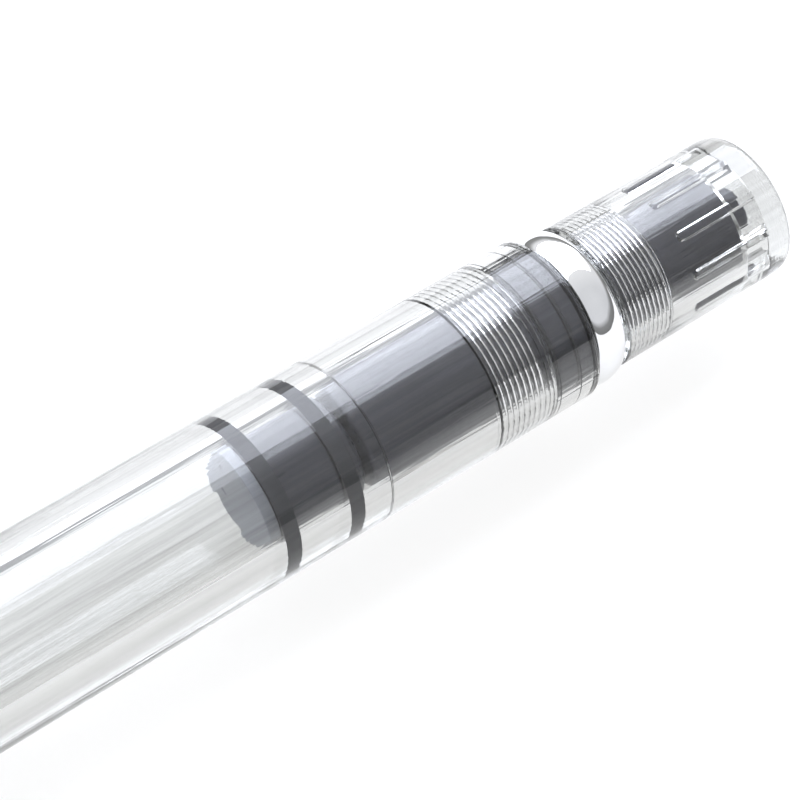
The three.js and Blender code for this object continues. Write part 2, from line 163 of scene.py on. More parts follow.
@dataclass(frozen=True)
class Grain:
    """An uneven pattern in the piece's own space, such as flow lines, clouds or tool marks.

    Its size is across the pen, in millimetres, and its stretch is how many times longer it is
    along the pen: a stretch under one lays it round the pen instead.
    """

    size: float
    stretch: float = 1.0
    detail: float = 3.0

    def lay(self, tree: bpy.types.NodeTree) -> bpy.types.NodeSocket:
        """Adds the pattern to a material.

        Args:
            tree: The material's node tree.

        Returns:
            The pattern's value, mostly between 0.3 and 0.7.
        """
        place = add_node(tree, "ShaderNodeTexCoord")
        squeezed = add_node(
            tree,
            "ShaderNodeMapping",
            {"Scale": (1 / self.stretch, 1.0, 1.0)},
            {"Vector": place.outputs["Object"]},
        )
        pattern = add_node(
            tree,
            "ShaderNodeTexNoise",
            {"Scale": per_mm(self.size), "Detail": self.detail, "Roughness": 0.55},
            {"Vector": squeezed.outputs["Vector"]},
        )
        return pattern.outputs["Fac"]


@dataclass(frozen=True)
class Finish:
    """A surface finish: what the material is, and how its surface was made.

    Its marks are the uneven pattern that varies the colour and the gloss. Its relief is the
    finer pattern that is raised on the surface, by relief_height in millimetres.
    """

    name: str
    colour: str
    light: str
    roughness: float
    marks: Grain
    relief: Grain
    relief_height: float
    ior: float = 1.5

    def settings(self) -> dict[str | int, object]:
        """Returns the uniform values of the shader's own sockets."""
        return {"IOR": self.ior}

    def inside(self, tree: bpy.types.NodeTree) -> dict[str | int, bpy.types.NodeSocket]:
        """Returns the socket for the material's inside, if it isn't opaque."""
        return {}

    def material(self) -> bpy.types.Material:
        """Makes the material once, and returns it on every later call.

        Returns:
            The material, with its own nodes.
        """
        known = bpy.data.materials.get(self.name)
        if known:
            return known
        made = bpy.data.materials.new(self.name)
        made.use_nodes = True
        tree = made.node_tree
        tree.nodes.clear()
        marks = self.marks.lay(tree)
        colour = add_node(
            tree,
            "ShaderNodeValToRGB",
            {"stops": ((0.3, self.colour), (0.7, self.light))},
            {"Fac": marks},
        )
        gloss = add_node(
            tree,
            "ShaderNodeMapRange",
            {
                "From Min": 0.3,
                "From Max": 0.7,
                "To Min": 0.8 * self.roughness,
                "To Max": 1.25 * self.roughness,
            },
            {"Value": marks},
        )
        raised = add_node(
            tree,
            "ShaderNodeBump",
            {"Strength": 1.0, "Distance": self.relief_height * MM},
            {"Height": self.relief.lay(tree)},
        )
        shader = add_node(
            tree,
            "ShaderNodeBsdfPrincipled",
            self.settings(),
            {
                "Base Color": colour.outputs["Color"],
                "Roughness": gloss.outputs["Result"],
                "Normal": raised.outputs["Normal"],
            },
        )
        ends = {"Surface": shader.outputs["BSDF"], **self.inside(tree)}
        add_node(tree, "ShaderNodeOutputMaterial", links=ends)
        return made


@dataclass(frozen=True)
class ClearAcrylic(Finish):
    """Clear acrylic, injection moulded and polished: a bright glassy wall with faint flow lines."""

    haze: float = 60.0

    def settings(self) -> dict[str | int, object]:
        """Lets the light through."""
        return {**super().settings(), "Transmission Weight": 1.0}

    def inside(self, tree: bpy.types.NodeTree) -> dict[str | int, bpy.types.NodeSocket]:
        """Greys the light a little on its way through thick plastic.

        Args:
            tree: The material's node tree.

        Returns:
            The absorbing volume.
        """
        grey = add_node(
            tree, "ShaderNodeVolumeAbsorption", {"Color": linear("DCDDDC"), "Density": self.haze}
        )
        return {"Volume": grey.outputs["Volume"]}


@dataclass(frozen=True)
class SoftPlastic(Finish):
    """Unfilled polyethylene: light enters it and scatters, so it glows softly at its edges."""

    def settings(self) -> dict[str | int, object]:
        """Scatters the light about a millimetre under the skin.

        Returns:
            Values by the shader's input name.
        """
        return {
            **super().settings(),
            "Subsurface Weight": 0.35,
            "Subsurface Radius": (1.0, 1.0, 1.0),
            "Subsurface Scale": 1.0 * MM,
        }


@dataclass(frozen=True)
class LitSheet(Finish):
    """Opal acrylic sheet with lamps under it: a white floor that keeps shadows faint."""

    glow: float = 0.88

    def settings(self) -> dict[str | int, object]:
        """Adds the light that comes up through the sheet.

        Returns:
            Values by the shader's input name.
        """
        return {
            **super().settings(),
            "Emission Color": linear("FFFFFF"),
            "Emission Strength": self.glow,
        }


@dataclass(frozen=True)
class Metal(Finish):
    """Bare or plated metal, which reflects in its own colour."""

    def settings(self) -> dict[str | int, object]:
        """Makes the surface metal, which keeps the shader's own index."""
        return {"Metallic": 1.0}


# Bright glassy plastic; long flow lines of the melt show as faint grey streaks along the pen. They
# are drawn about three times as coarse as the real ones, which are too fine to show.
CLEAR = ClearAcrylic(
    name="polished_clear_acrylic",
    colour="D4D4D3",
    light="F6F7F6",
    roughness=0.0,
    marks=Grain(0.4, 60.0),
    relief=Grain(0.5, 50.0, 2.0),
    relief_height=0.03,
    ior=1.49,
)
# Dark satin plastic with a cloudy, faintly blue colour and a soft highlight.
GREY = Finish(
    name="moulded_grey_acetal",
    colour="44444C",
    light="52525B",
    roughness=0.33,
    marks=Grain(1.2, 12.0),
    relief=Grain(0.25),
    relief_height=0.0006,
    ior=1.48,
)
# Pale plastic that looks soft, because light gets a little way into it.
PALE = SoftPlastic(
    name="moulded_pale_polyethylene",
    colour="A0A3AB",
    light="ACAFB7",
    roughness=0.34,
    marks=Grain(2.5),
    relief=Grain(0.25),
    relief_height=0.0006,
    ior=1.51,
)
# Pale satin rod, drawn through its die: long faint clouds.
PALE_ROD = Finish(
    name="drawn_pale_acetal",
    colour="8E9097",
    light="999BA2",
    roughness=0.3,
    marks=Grain(2.5, 6.0),
    relief=Grain(0.25),
    relief_height=0.0006,
    ior=1.48,
)
# Dull dark rubber with a fine even grain.
SEAL = Finish(
    name="moulded_nitrile_rubber",
    colour="3C3C3F",
    light="444447",
    roughness=0.48,
    marks=Grain(2.5),
    relief=Grain(0.15),
    relief_height=0.0006,
    ior=1.52,
)
# A mirror with a breath of handling haze.
CHROME = Metal(
    name="chromium_plated_brass",
    colour="EAEBED",
    light="F2F3F5",
    roughness=0.04,
    marks=Grain(3.0),
    relief=Grain(6.0, detail=0.0),
    relief_height=0.0002,
)
# Bright metal with fine grinding lines along it.
STEEL = Metal(
    name="ground_stainless_steel",
    colour="C0C1C4",
    light="CBCCCF",
    roughness=0.2,
    marks=Grain(0.08, 30.0),
    relief=Grain(0.08, 30.0),
    relief_height=0.0012,
)
# Near-black satin plastic.
BLACK = Finish(
    name="moulded_black_abs",
    colour="121214",
    light="1A1A1D",
    roughness=0.42,
    marks=Grain(2.5),
    relief=Grain(0.25),
    relief_height=0.0012,
    ior=1.54,
)
# Warm bright metal with turning lines round it.
BRASS = Metal(
    name="turned_brass_bar",
    colour="C29A4C",
    light="CDA558",
    roughness=0.22,
    marks=Grain(0.08, 0.05),
    relief=Grain(0.08, 0.05),
    relief_height=0.0012,
)
# White and even: only the faintest mottling shows.
OPAL = LitSheet(
    name="lit_opal_acrylic",
    colour="5E5E5E",
    light="626262",
    roughness=0.6,
    marks=Grain(60.0),
    relief=Grain(0.25),
    relief_height=0.0006,
    ior=1.49,
)


# ---- turned meshes ------------------------------------------------------------------------------


@dataclass(frozen=True)
class Corner:
    """One corner of a turned outline.

    Attributes:
        station: Place along the pen, in millimetres.
        radius: Distance from the pen's axis, in millimetres.
        fillet: Radius that rounds the corner off.
        steps: Equal steps that the run from here to the next corner is cut into.
    """

    station: float
    radius: float
    fillet: float = 0.0
    steps: int = 1


FILLET_STEPS = 5


def rounded(corners: list[Corner], closed: bool) -> list[Point]:
    """Rounds an outline's corners and cuts its runs into steps.

    Args:
        corners: The outline's corners in order.
        closed: True if the last corner runs on to the first.

    Returns:
        Points as (station, radius).
    """
    count = len(corners)
    points: list[Point] = []
    ends: list[tuple[Vector, Vector]] = []
    for index, corner in enumerate(corners):
        here = Vector((corner.station, corner.radius))
        inner = closed or 0 < index < count - 1
        if corner.fillet <= 0 or not inner:
            ends.append((here, here))
            continue
        before = corners[index - 1]
        after = corners[(index + 1) % count]
        back = Vector((before.station, before.radius)) - here
        ahead = Vector((after.station, after.radius)) - here
        reach = min(corner.fillet, back.length * 0.49, ahead.length * 0.49)
        ends.append((here + back.normalized() * reach, here + ahead.normalized() * reach))
    for index, corner in enumerate(corners):
        here = Vector((corner.station, corner.radius))
        start, stop = ends[index]
        if (stop - start).length > 1e-9:
            for step in range(FILLET_STEPS + 1):
                t = step / FILLET_STEPS
                place = start * (1 - t) ** 2 + here * 2 * t * (1 - t) + stop * t**2
                points.append((place.x, place.y))
        else:
            points.append((here.x, here.y))
        if index == count - 1 and not closed:
            break
        following = ends[(index + 1) % count][0]
        for step in range(1, corner.steps):
            place = stop.lerp(following, step / corner.steps)
            points.append((place.x, place.y))
    return points


def even_faces(mesh: bpy.types.Mesh, weld: float = 0.0) -> None:
    """Turns a mesh's faces the same way and shades them smooth.

    Args:
        mesh: The mesh.
        weld: Vertices closer than this, in metres, become one first.
    """
    work = bmesh.new()
    work.from_mesh(mesh)
    if weld > 0:
        bmesh.ops.remove_doubles(work, verts=work.verts, dist=weld)
    bmesh.ops.recalc_face_normals(work, faces=work.faces)
    work.to_mesh(mesh)
    work.free()
    mesh.shade_smooth()


def mesh_object(name: str, places: list[Vector], faces: list[tuple[int, ...]]) -> bpy.types.Object:
    """Makes a smooth-shaded mesh object with crisp corners.

    Args:
        name: The piece's name.
        places: Vertices in millimetres.
        faces: Vertex numbers of each face.

    Returns:
        The object, linked to the scene.
    """
    mesh = bpy.data.meshes.new(name)
    mesh.from_pydata([place * MM for place in places], [], faces)
    mesh.update()
    even_faces(mesh)
    mesh.set_sharp_from_angle(angle=CREASE)
    made = bpy.data.objects.new(name, mesh)
    bpy.context.scene.collection.objects.link(made)
    return made


def turned(
    name: str, corners: list[Corner], sides: int = 144, relief: Relief | None = None
) -> bpy.types.Object:
    """Turns an outline about the pen's axis.

    Args:
        name: The piece's name.
        corners: An outline that starts and ends on the axis, or one that closes on itself.
        sides: Steps round the axis.
        relief: Gives a point's new radius from its station, angle and radius.

    Returns:
        The piece.
    """
    closed = corners[0].radius > 0
    points = rounded(corners, closed)
    places: list[Vector] = []
    rings: list[list[int]] = []
    for station, radius in points:
        if radius < 1e-6:
            rings.append([len(places)])
            places.append(Vector((station, 0.0, 0.0)))
            continue
        rings.append(list(range(len(places), len(places) + sides)))
        for side in range(sides):
            angle = TURN * side / sides
            reach = relief(station, angle, radius) if relief else radius
            places.append(Vector((station, reach * math.cos(angle), reach * math.sin(angle))))
    faces: list[tuple[int, ...]] = []
    pairs = list(zip(rings, rings[1:] + (rings[:1] if closed else [])))
    for first, second in pairs:
        for side in range(sides):
            after = (side + 1) % sides
            if len(first) == 1 and len(second) == 1:
                break
            if len(first) == 1:
                faces.append((first[0], second[side], second[after]))
            elif len(second) == 1:
                faces.append((first[side], second[0], first[after]))
            else:
                faces.append((first[side], second[side], second[after], first[after]))
    return mesh_object(name, places, faces)


def ring(
    name: str, low: float, high: float, inner: float, outer: float, fillet: float = 0.05
) -> bpy.types.Object:
    """Turns a plain ring or tube with eased edges.

    Args:
        name: The piece's name.
        low: Front station.
        high: Rear station.
        inner: Bore radius.
        outer: Outer radius.
        fillet: Radius of the eased edges.

    Returns:
        The piece.
    """
    corners = [(low, inner), (low, outer), (high, outer), (high, inner)]
    return turned(name, [Corner(station, radius, fillet) for station, radius in corners])


def round_wire(name: str, station: float, radius: float, wire: float) -> bpy.types.Object:
    """Turns an O-ring.

    Args:
        name: The piece's name.
        station: Where its middle lies along the pen.
        radius: From the axis to the middle of the ring's section.
        wire: Radius of the section.

    Returns:
        The piece.
    """
    steps = 20
    corners = []
    for step in range(steps):
        angle = TURN * step / steps
        corners.append(Corner(station + wire * math.cos(angle), radius + wire * math.sin(angle)))
    return turned(name, corners)


def smooth(t: float) -> float:
    """Returns a value that eases from 0 to 1 as t does, and holds outside."""
    t = min(max(t, 0.0), 1.0)
    return t * t * (3 - 2 * t)


@dataclass(frozen=True)
class Thread:
    """A cut or moulded screw thread as relief on a turned surface.

    Attributes:
        low: Front station of the thread.
        high: Rear station of the thread.
        pitch: Distance between neighbouring crests.
        depth: Height of the relief, outward if positive.
        surface: Radius of the plain surface that the thread is cut in.
        starts: Number of threads side by side.
        root: Share of the thread's form that stays flat at its root.
        run_out: Pitches over which each end of the thread fades in.
    """

    low: float
    high: float
    pitch: float
    depth: float
    surface: float
    starts: int = 1
    root: float = 0.46
    run_out: float = 0.9

    def steps(self, per_pitch: int = 20) -> int:
        """Returns how many steps along the pen show the thread's form.

        Args:
            per_pitch: Steps for one pitch.

        Returns:
            The number of steps.
        """
        return int((self.high - self.low) / self.pitch * per_pitch)

    def offset(self, station: float, angle: float) -> float:
        """Returns the relief's height at one point.

        Args:
            station: Place along the pen.
            angle: Place round the pen.

        Returns:
            Height in millimetres, zero outside the thread.
        """
        if not self.low <= station <= self.high:
            return 0.0
        turns = (station - self.low) / self.pitch - self.starts * angle / TURN
        wave = 1 - abs(2 * (turns % 1.0) - 1)
        form = smooth((wave - self.root) / self.root)
        fade = self.run_out * self.pitch
        return (
            self.depth
            * form
            * smooth((station - self.low) / fade)
            * smooth((self.high - station) / fade)
        )

    def relief(self, station: float, angle: float, radius: float) -> float:
        """Returns a point's radius with the thread cut in the surface that it belongs to.

        Args:
            station: Place along the pen.
            angle: Place round the pen.
            radius: The plain radius there.

        Returns:
            The radius with the cuts made.
        """
        near = abs(radius - self.surface) < 0.02
        return radius + self.offset(station, angle) if near else radius


def fit(
    piece: bpy.types.Object, body: Body, node: str | None, finish: Finish
) -> None:
    """Dresses a piece, hangs it on its body, lets it stand for its CAD node and reports it.

    Args:
        piece: The piece.
        body: The body that it rides on.
        node: The CAD node that it replaces, or None if it is an added detail.
        finish: The finish.
    """
    piece.data.materials.clear()
    piece.data.materials.append(finish.material())
    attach(piece, body.value)
    if node:
        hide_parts(node)
    faces = len(piece.data.polygons)
    LOG.info("%s: %d faces, on %s, for %s", piece.name, faces, body.value, node or "no node")


def span(node: str) -> tuple[float, float, float]:
    """Measures a turned CAD node.

    Args:
        node: The node's name.

    Returns:
        Its front station, rear station and outer radius, in millimetres.
    """
    low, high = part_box(node)
    return low.x / MM, high.x / MM, high.z / MM


# ---- barrel and mechanism -----------------------------------------------------------------------


@dataclass(frozen=True)
class BarrelUnit:
    """The clear barrel with the parts of the filling mechanism that are fixed in it."""

    chamber: float = 4.06
    housing_bore: float = 4.4
    collar_bore: float = 5.35
    tenon_bore: float = 4.95
    neck: float = 6.0
    shoulder: float = -78.3
    bore_step: float = -37.9
    collar_front: float = -23.3
    chamber_front: float = -75.0
    drive_bore: float = 3.4
    rod_hole: float = 2.05
    front_web: float = 1.7  # thickness of the housing's front wall round the rod
    o_ring_groove: float = 0.26
    ring_bore: float = 4.1
    bead: float = 1.15  # height of the trim ring's rounded outside
    bead_edge: float = 0.08  # share of a half turn left off at each edge of the bead
    washer_bore: float = 3.45
    rear_thread: Thread = field(default=Thread(-28.55, -23.6, 0.49, 0.3, 4.4))
    male_thread: Thread = field(default=Thread(-28.55, -23.6, 0.49, 0.06, 4.25))
    cap_thread: Thread = field(default=Thread(-83.2, -79.2, 1.2, 0.22, 6.0))

    def tube(self) -> bpy.types.Object:
        """Turns the clear tube, with the screw thread moulded in its rear bore.

        Returns:
            The clear barrel.
        """
        front, rear, radius = span("barrel")
        corners = [
            Corner(rear, self.collar_bore, 0.08),
            Corner(rear, radius, 0.22),
            Corner(self.shoulder, radius, 0.15),
            Corner(self.shoulder, self.neck, 0.1),
            Corner(self.cap_thread.high, self.neck, steps=self.cap_thread.steps()),
            Corner(self.cap_thread.low, self.neck),
            Corner(front, self.neck, 0.15),
            Corner(front, self.tenon_bore, 0.1),
            Corner(self.chamber_front, self.tenon_bore, 0.1),
            Corner(self.chamber_front, self.chamber, 0.1),
            Corner(self.bore_step, self.chamber, 0.06),
            Corner(self.bore_step, self.housing_bore, 0.06),
            Corner(self.rear_thread.low, self.housing_bore, steps=self.rear_thread.steps()),
            Corner(self.rear_thread.high, self.housing_bore),
            Corner(self.collar_front, self.housing_bore, 0.05),
            Corner(self.collar_front, self.collar_bore, 0.08),
        ]

        def relief(station: float, angle: float, radius: float) -> float:
            """Cuts both threads.

            Args:
                station: Place along the pen.
                angle: Place round the pen.
                radius: The plain radius there.

            Returns:
                The radius with the cuts made.
            """
            inner = self.rear_thread.relief(station, angle, radius)
            return self.cap_thread.relief(station, angle, inner)

        return turned("clear_barrel", corners, relief=relief)

    def housing(self) -> bpy.types.Object:
        """Turns the grey sleeve that the knob's core runs in, with its collar and two grooves.

        Returns:
            The housing.
        """
        front, rear, radius = span("mechanism_housing")
        neck = self.chamber - 0.1
        body = self.male_thread.surface
        collar_front = self.collar_front + 0.1
        corners = [
            Corner(front, self.rod_hole, 0.05),
            Corner(front, neck, 0.4),
            Corner(self.bore_step + 0.1, neck, 0.05),
            Corner(self.bore_step + 0.1, body, 0.1),
            Corner(self.male_thread.low, body, steps=self.male_thread.steps()),
            Corner(self.male_thread.high, body),
            Corner(collar_front, body, 0.04),
            Corner(collar_front, radius, 0.1),
        ]
        for node in ("housing_o_ring_front", "housing_o_ring_rear"):
            low, high, _ = span(node)
            corners += [
                Corner(low - 0.03, radius, 0.03),
                Corner(low - 0.03, radius - self.o_ring_groove, 0.03),
                Corner(high + 0.03, radius - self.o_ring_groove, 0.03),
                Corner(high + 0.03, radius, 0.03),
            ]
        corners += [
            Corner(rear, radius, 0.12),
            Corner(rear, self.drive_bore, 0.05),
            Corner(front + self.front_web, self.drive_bore, 0.1),
            Corner(front + self.front_web, self.rod_hole, 0.05),
        ]
        return turned("grey_mechanism_housing", corners, relief=self.male_thread.relief)

    def trim_ring(self) -> bpy.types.Object:
        """Turns the chromed bead between the barrel and the knob.

        Returns:
            The ring.
        """
        front, rear, radius = span("tail_ring")
        middle = (front + rear) / 2
        reach = (rear - front) / 2 / math.cos(math.pi * self.bead_edge)
        corners = [Corner(rear, self.ring_bore, 0.05)]
        steps = 28
        for step in range(steps + 1):
            turn = math.pi * (self.bead_edge + (1 - 2 * self.bead_edge) * step / steps)
            swell = self.bead * math.sin(turn) ** 0.75
            lean = max(0.1 * math.cos(turn), 0.0)
            station = middle + reach * math.cos(turn)
            corners.append(Corner(station, radius - self.bead + swell - lean))
        corners.append(Corner(front, self.ring_bore, 0.05))
        return turned("chrome_tail_ring", corners)

    def build(self) -> None:
        """Builds, dresses and reports the fixed pieces at the pen's tail."""
        fit(self.tube(), Body.BARREL, "barrel", CLEAR)
        fit(self.housing(), Body.BARREL, "mechanism_housing", GREY)
        fit(self.trim_ring(), Body.BARREL, "tail_ring", CHROME)
        for node in ("housing_o_ring_front", "housing_o_ring_rear"):
            low, high, _ = span(node)
            wire = (high - low) / 2
            reach = self.collar_bore - wire + 0.01  # the ring touches the collar's bore
            seal = round_wire(f"sealing_{node}", (low + high) / 2, reach, wire)
            fit(seal, Body.BARREL, node, SEAL)
        low, high, radius = span("thrust_washer")
        washer = ring("steel_thrust_washer", low, high, self.washer_bore, radius)
        fit(washer, Body.BARREL, "thrust_washer", STEEL)


# ---- filling knob -------------------------------------------------------------------------------


@dataclass(frozen=True)
class FillingKnob:
    """The clear knob at the tail, and the grey core that it turns."""

    bore: float = 4.05
    thread_bore: float = 4.25
    stub_chamber: float = 3.2
    end_wall: float = 1.5
    rounding: float = 1.1
    thread: Thread = field(default=Thread(-15.95, -11.5, 0.42, 0.25, 4.25))
    core_thread: Thread = field(default=Thread(-15.95, -11.5, 0.42, 0.06, 3.85))
    grooves: int = 9
    groove_width: float = 0.64
    groove_floor: float = 4.4
    groove_front: float = -9.1
    groove_turn: float = math.radians(30.2)
    core_end: float = -4.1
    core_shoulder: float = -19.1
    stub: float = 1.82
    stub_flat: float = 1.55  # half the width across the stub's two flats
    tube_radius: float = 3.3
    tube_bore: float = 2.3
    nut_bore: float = 2.9
    nut_seat: float = 5.2  # depth of the brass nut's seat in the tube
    nut_hole: float = 2.05
    nut_thread: float = 0.12  # depth of the thread in the nut
    sides: int = 360

    def groove_relief(self, station: float, angle: float, radius: float) -> float:
        """Sinks the grooves along the knob's bore.

        Args:
            station: Place along the pen.
            angle: Place round the pen.
            radius: The plain radius there.

        Returns:
            The radius with the grooves cut.
        """
        step = TURN / self.grooves
        off = (angle - self.groove_turn - math.pi / 2 + step / 2) % step - step / 2
        across = abs(off) * self.bore
        half = self.groove_width / 2
        along = station - self.groove_front
        if along < half:
            across = math.hypot(across, max(half - along, 0.0))
        inside = smooth((half + 0.05 - across) / 0.13)
        floor = self.groove_floor if station < self.core_end + 0.1 else self.groove_floor - 0.12
        return radius + max(floor - radius, 0.0) * inside

    def relief(self, station: float, angle: float, radius: float) -> float:
        """Cuts the thread and the grooves inside the knob, and leaves its outside plain.

        Args:
            station: Place along the pen.
            angle: Place round the pen.
            radius: The plain radius there.

        Returns:
            The radius with the cuts made.
        """
        if radius > self.groove_floor:
            return radius
        threaded = self.thread.relief(station, angle, radius)
        in_grooves = self.groove_front - 0.5 < station < -self.end_wall - 0.15
        return self.groove_relief(station, angle, threaded) if in_grooves else threaded

    def shell(self) -> bpy.types.Object:
        """Turns the clear shell with its rounded end, blind bore, thread and grooves.

        Returns:
            The clear shell.
        """
        front, rear, radius = span("knob_shell")
        step = self.core_end + 0.1
        chamber_end = rear - self.end_wall
        corners = [
            Corner(front, self.thread_bore, 0.05),
            Corner(front, radius, 0.2),
            Corner(rear, radius, self.rounding),
            Corner(rear, 0.0),
            Corner(chamber_end, 0.0),
            Corner(chamber_end, self.stub_chamber, 0.12, steps=12),
            Corner(step, self.stub_chamber, 0.04),
            Corner(step, self.bore, 0.04, steps=50),
            Corner(self.groove_front - 0.6, self.bore),
            Corner(self.thread.high + 0.1, self.bore, 0.05),
            Corner(self.thread.high, self.thread_bore, steps=self.thread.steps()),
            Corner(self.thread.low, self.thread_bore),
        ]
        return turned("clear_knob_shell", corners, self.sides, self.relief)

    def core(self) -> bpy.types.Object:
        """Turns the grey core: a tube with a screw thread, closed by a stub with two flats.

        Returns:
            The core.
        """
        front, rear, _ = span("drive_core")
        radius = self.core_thread.surface
        corners = [
            Corner(front, self.nut_bore, 0.04),
            Corner(front, self.tube_radius, 0.08),
            Corner(self.core_shoulder, self.tube_radius, 0.05),
            Corner(self.core_shoulder, radius, 0.15),
            Corner(self.core_thread.low, radius, steps=self.core_thread.steps()),
            Corner(self.core_thread.high, radius),
            Corner(self.core_end, radius, 0.18),
            Corner(self.core_end, self.stub, 0.06, steps=6),
            Corner(rear, self.stub, 0.45),
            Corner(rear, 0.0),
            Corner(self.core_end - 1.0, 0.0),
            Corner(self.core_end - 1.0, self.tube_bore, 0.2),
            Corner(front + self.nut_seat, self.tube_bore, 0.05),
            Corner(front + self.nut_seat, self.nut_bore, 0.04),
        ]

        def relief(station: float, angle: float, at: float) -> float:
            """Cuts the thread, and the two flats of the stub.

            Args:
                station: Place along the pen.
                angle: Place round the pen.
                at: The plain radius there.

            Returns:
                The radius with the cuts made.
            """
            if station > self.core_end + 0.05 and at > 0:
                return min(at, self.stub_flat / max(abs(math.cos(angle - 0.5)), 1e-6))
            return self.core_thread.relief(station, angle, at)

        return turned("grey_drive_core", corners, relief=relief)

    def build(self) -> None:
        """Builds, dresses and reports the turning pieces at the tail."""
        fit(self.shell(), Body.KNOB, "knob_shell", CLEAR)
        fit(self.core(), Body.KNOB, "drive_core", GREY)
        low, high, radius = span("drive_nut")
        hole = self.nut_hole
        screw = Thread(low, high, ROD_PITCH, self.nut_thread, hole, starts=ROD_STARTS)
        corners = [
            Corner(low, hole, steps=60),
            Corner(high, hole),
            Corner(high, radius, 0.08),
            Corner(low, radius, 0.08),
        ]
        nut = turned("brass_drive_nut", corners, relief=screw.relief)
        fit(nut, Body.KNOB, "drive_nut", BRASS)


# ---- piston -------------------------------------------------------------------------------------


@dataclass(frozen=True)
class Piston:
    """The piston head with its two seals and recessed crown, on its flatted screw rod."""

    groove_floor: float = 3.2
    bore_rim: float = 4.066
    rod_flat: float = 1.45  # half the width across the rod's two flats
    screw_depth: float = 0.28
    rod_socket: float = 2.0
    socket_floor: float = -44.5
    stem: float = 1.1
    lip_radius: float = 3.68
    crown_radius: float = 3.88
    recess_radius: float = 2.9
    recess_middle: float = math.radians(-63.4)
    recess_span: float = math.radians(70.0)

    def head(self) -> bpy.types.Object:
        """Turns the grey head with a groove for each seal and a chamfered rear.

        Returns:
            The piston head.
        """
        front, rear, radius = span("piston_head")
        stem_bore = self.stem + 0.1
        corners = [Corner(front, stem_bore, 0.05), Corner(front, self.lip_radius, 0.05)]
        for node, rim in (("front_seal", self.lip_radius), ("rear_seal", radius)):
            low, high, _ = span(node)
            corners += [
                Corner(low - 0.05, rim, 0.05),
                Corner(low - 0.05, self.groove_floor, 0.05),
                Corner(high + 0.05, self.groove_floor, 0.05),
                Corner(high + 0.05, radius, 0.05),
            ]
        corners += [
            Corner(rear - 0.5, radius, 0.15),
            Corner(rear, radius - 0.6, 0.1),
            Corner(rear, self.rod_socket, 0.05),
            Corner(self.socket_floor, self.rod_socket, 0.1),
            Corner(self.socket_floor, stem_bore, 0.05),
        ]
        return turned("grey_piston_head", corners)

    def seal(self, node: str) -> bpy.types.Object:
        """Turns one sealing band: a flat tread between two soft lips.

        Args:
            node: The CAD node that it stands for.

        Returns:
            The piece.
        """
        low, high, _ = span(node)
        inner = self.groove_floor + 0.05
        waist = self.bore_rim - 0.003
        lip = 0.18
        corners = [
            Corner(low, inner, 0.06),
            Corner(low, self.bore_rim, 0.05),
            Corner(low + lip, self.bore_rim, 0.04),
            Corner(low + lip * 1.5, waist, 0.04),
            Corner(high - lip * 1.5, waist, 0.04),
            Corner(high - lip, self.bore_rim, 0.04),
            Corner(high, self.bore_rim, 0.05),
            Corner(high, inner, 0.06),
        ]
        return turned(f"rubber_{node}", corners)

    def crown(self) -> bpy.types.Object:
        """Turns the pale crown: a round plate with a recess, and a skirt over the head's lip.

        Returns:
            The crown.
        """
        front, stem_end, _ = span("piston_crown")
        face_rear = span("piston_head")[0] - 0.05
        skirt_rear = span("front_seal")[0] - 0.04
        ledge = face_rear - 0.12
        corners = [
            Corner(front, 0.0, steps=4),
            Corner(front, self.crown_radius, 0.1),
            Corner(ledge - 0.02, self.crown_radius),
            Corner(ledge, self.crown_radius),
            Corner(skirt_rear, self.crown_radius, 0.03),
            Corner(skirt_rear, self.lip_radius + 0.03, 0.02),
            Corner(face_rear, self.lip_radius + 0.03, 0.02),
            Corner(face_rear, self.stem, 0.03),
            Corner(stem_end, self.stem, 0.2),
            Corner(stem_end, 0.0),
        ]

        def relief(station: float, angle: float, radius: float) -> float:
            """Cuts the recess in the plate's rim, in front of the skirt.

            Args:
                station: Place along the pen.
                angle: Place round the pen.
                radius: The plain radius there.

            Returns:
                The radius with the cuts made.
            """
            off = abs((angle - self.recess_middle + math.pi) % TURN - math.pi)
            cut = station < ledge - 0.01 and radius > 1.2 and off < self.recess_span / 2
            return radius * self.recess_radius / self.crown_radius if cut else radius

        return turned("pale_piston_crown", corners, 192, relief)

    def rod(self) -> bpy.types.Object:
        """Turns the rod: a steep four-start screw with two flats along it.

        Returns:
            The rod.
        """
        low, high, radius = span("piston_rod")
        screw = Thread(low, high, ROD_PITCH, -self.screw_depth, radius, starts=ROD_STARTS)
        corners = [
            Corner(low, 0.0),
            Corner(low, radius, 0.1, steps=240),
            Corner(high, radius, 0.3),
            Corner(high, 0.0),
        ]

        def relief(station: float, angle: float, at: float) -> float:
            """Cuts the screw, then the flats.

            Args:
                station: Place along the pen.
                angle: Place round the pen.
                at: The plain radius there.

            Returns:
                The radius with the cuts made.
            """
            across = abs(math.sin(angle))
            return min(screw.relief(station, angle, at), self.rod_flat / max(across, 1e-6))

        return turned("pale_piston_rod", corners, 96, relief)

    def build(self) -> None:
        """Builds, dresses and reports the sliding pieces."""
        fit(self.head(), Body.PISTON, "piston_head", GREY)
        fit(self.crown(), Body.PISTON, "piston_crown", PALE)
        for node in ("front_seal", "rear_seal"):
            fit(self.seal(node), Body.PISTON, node, SEAL)
        fit(self.rod(), Body.PISTON, "piston_rod", PALE_ROD)


# ---- writing end --------------------------------------------------------------------------------


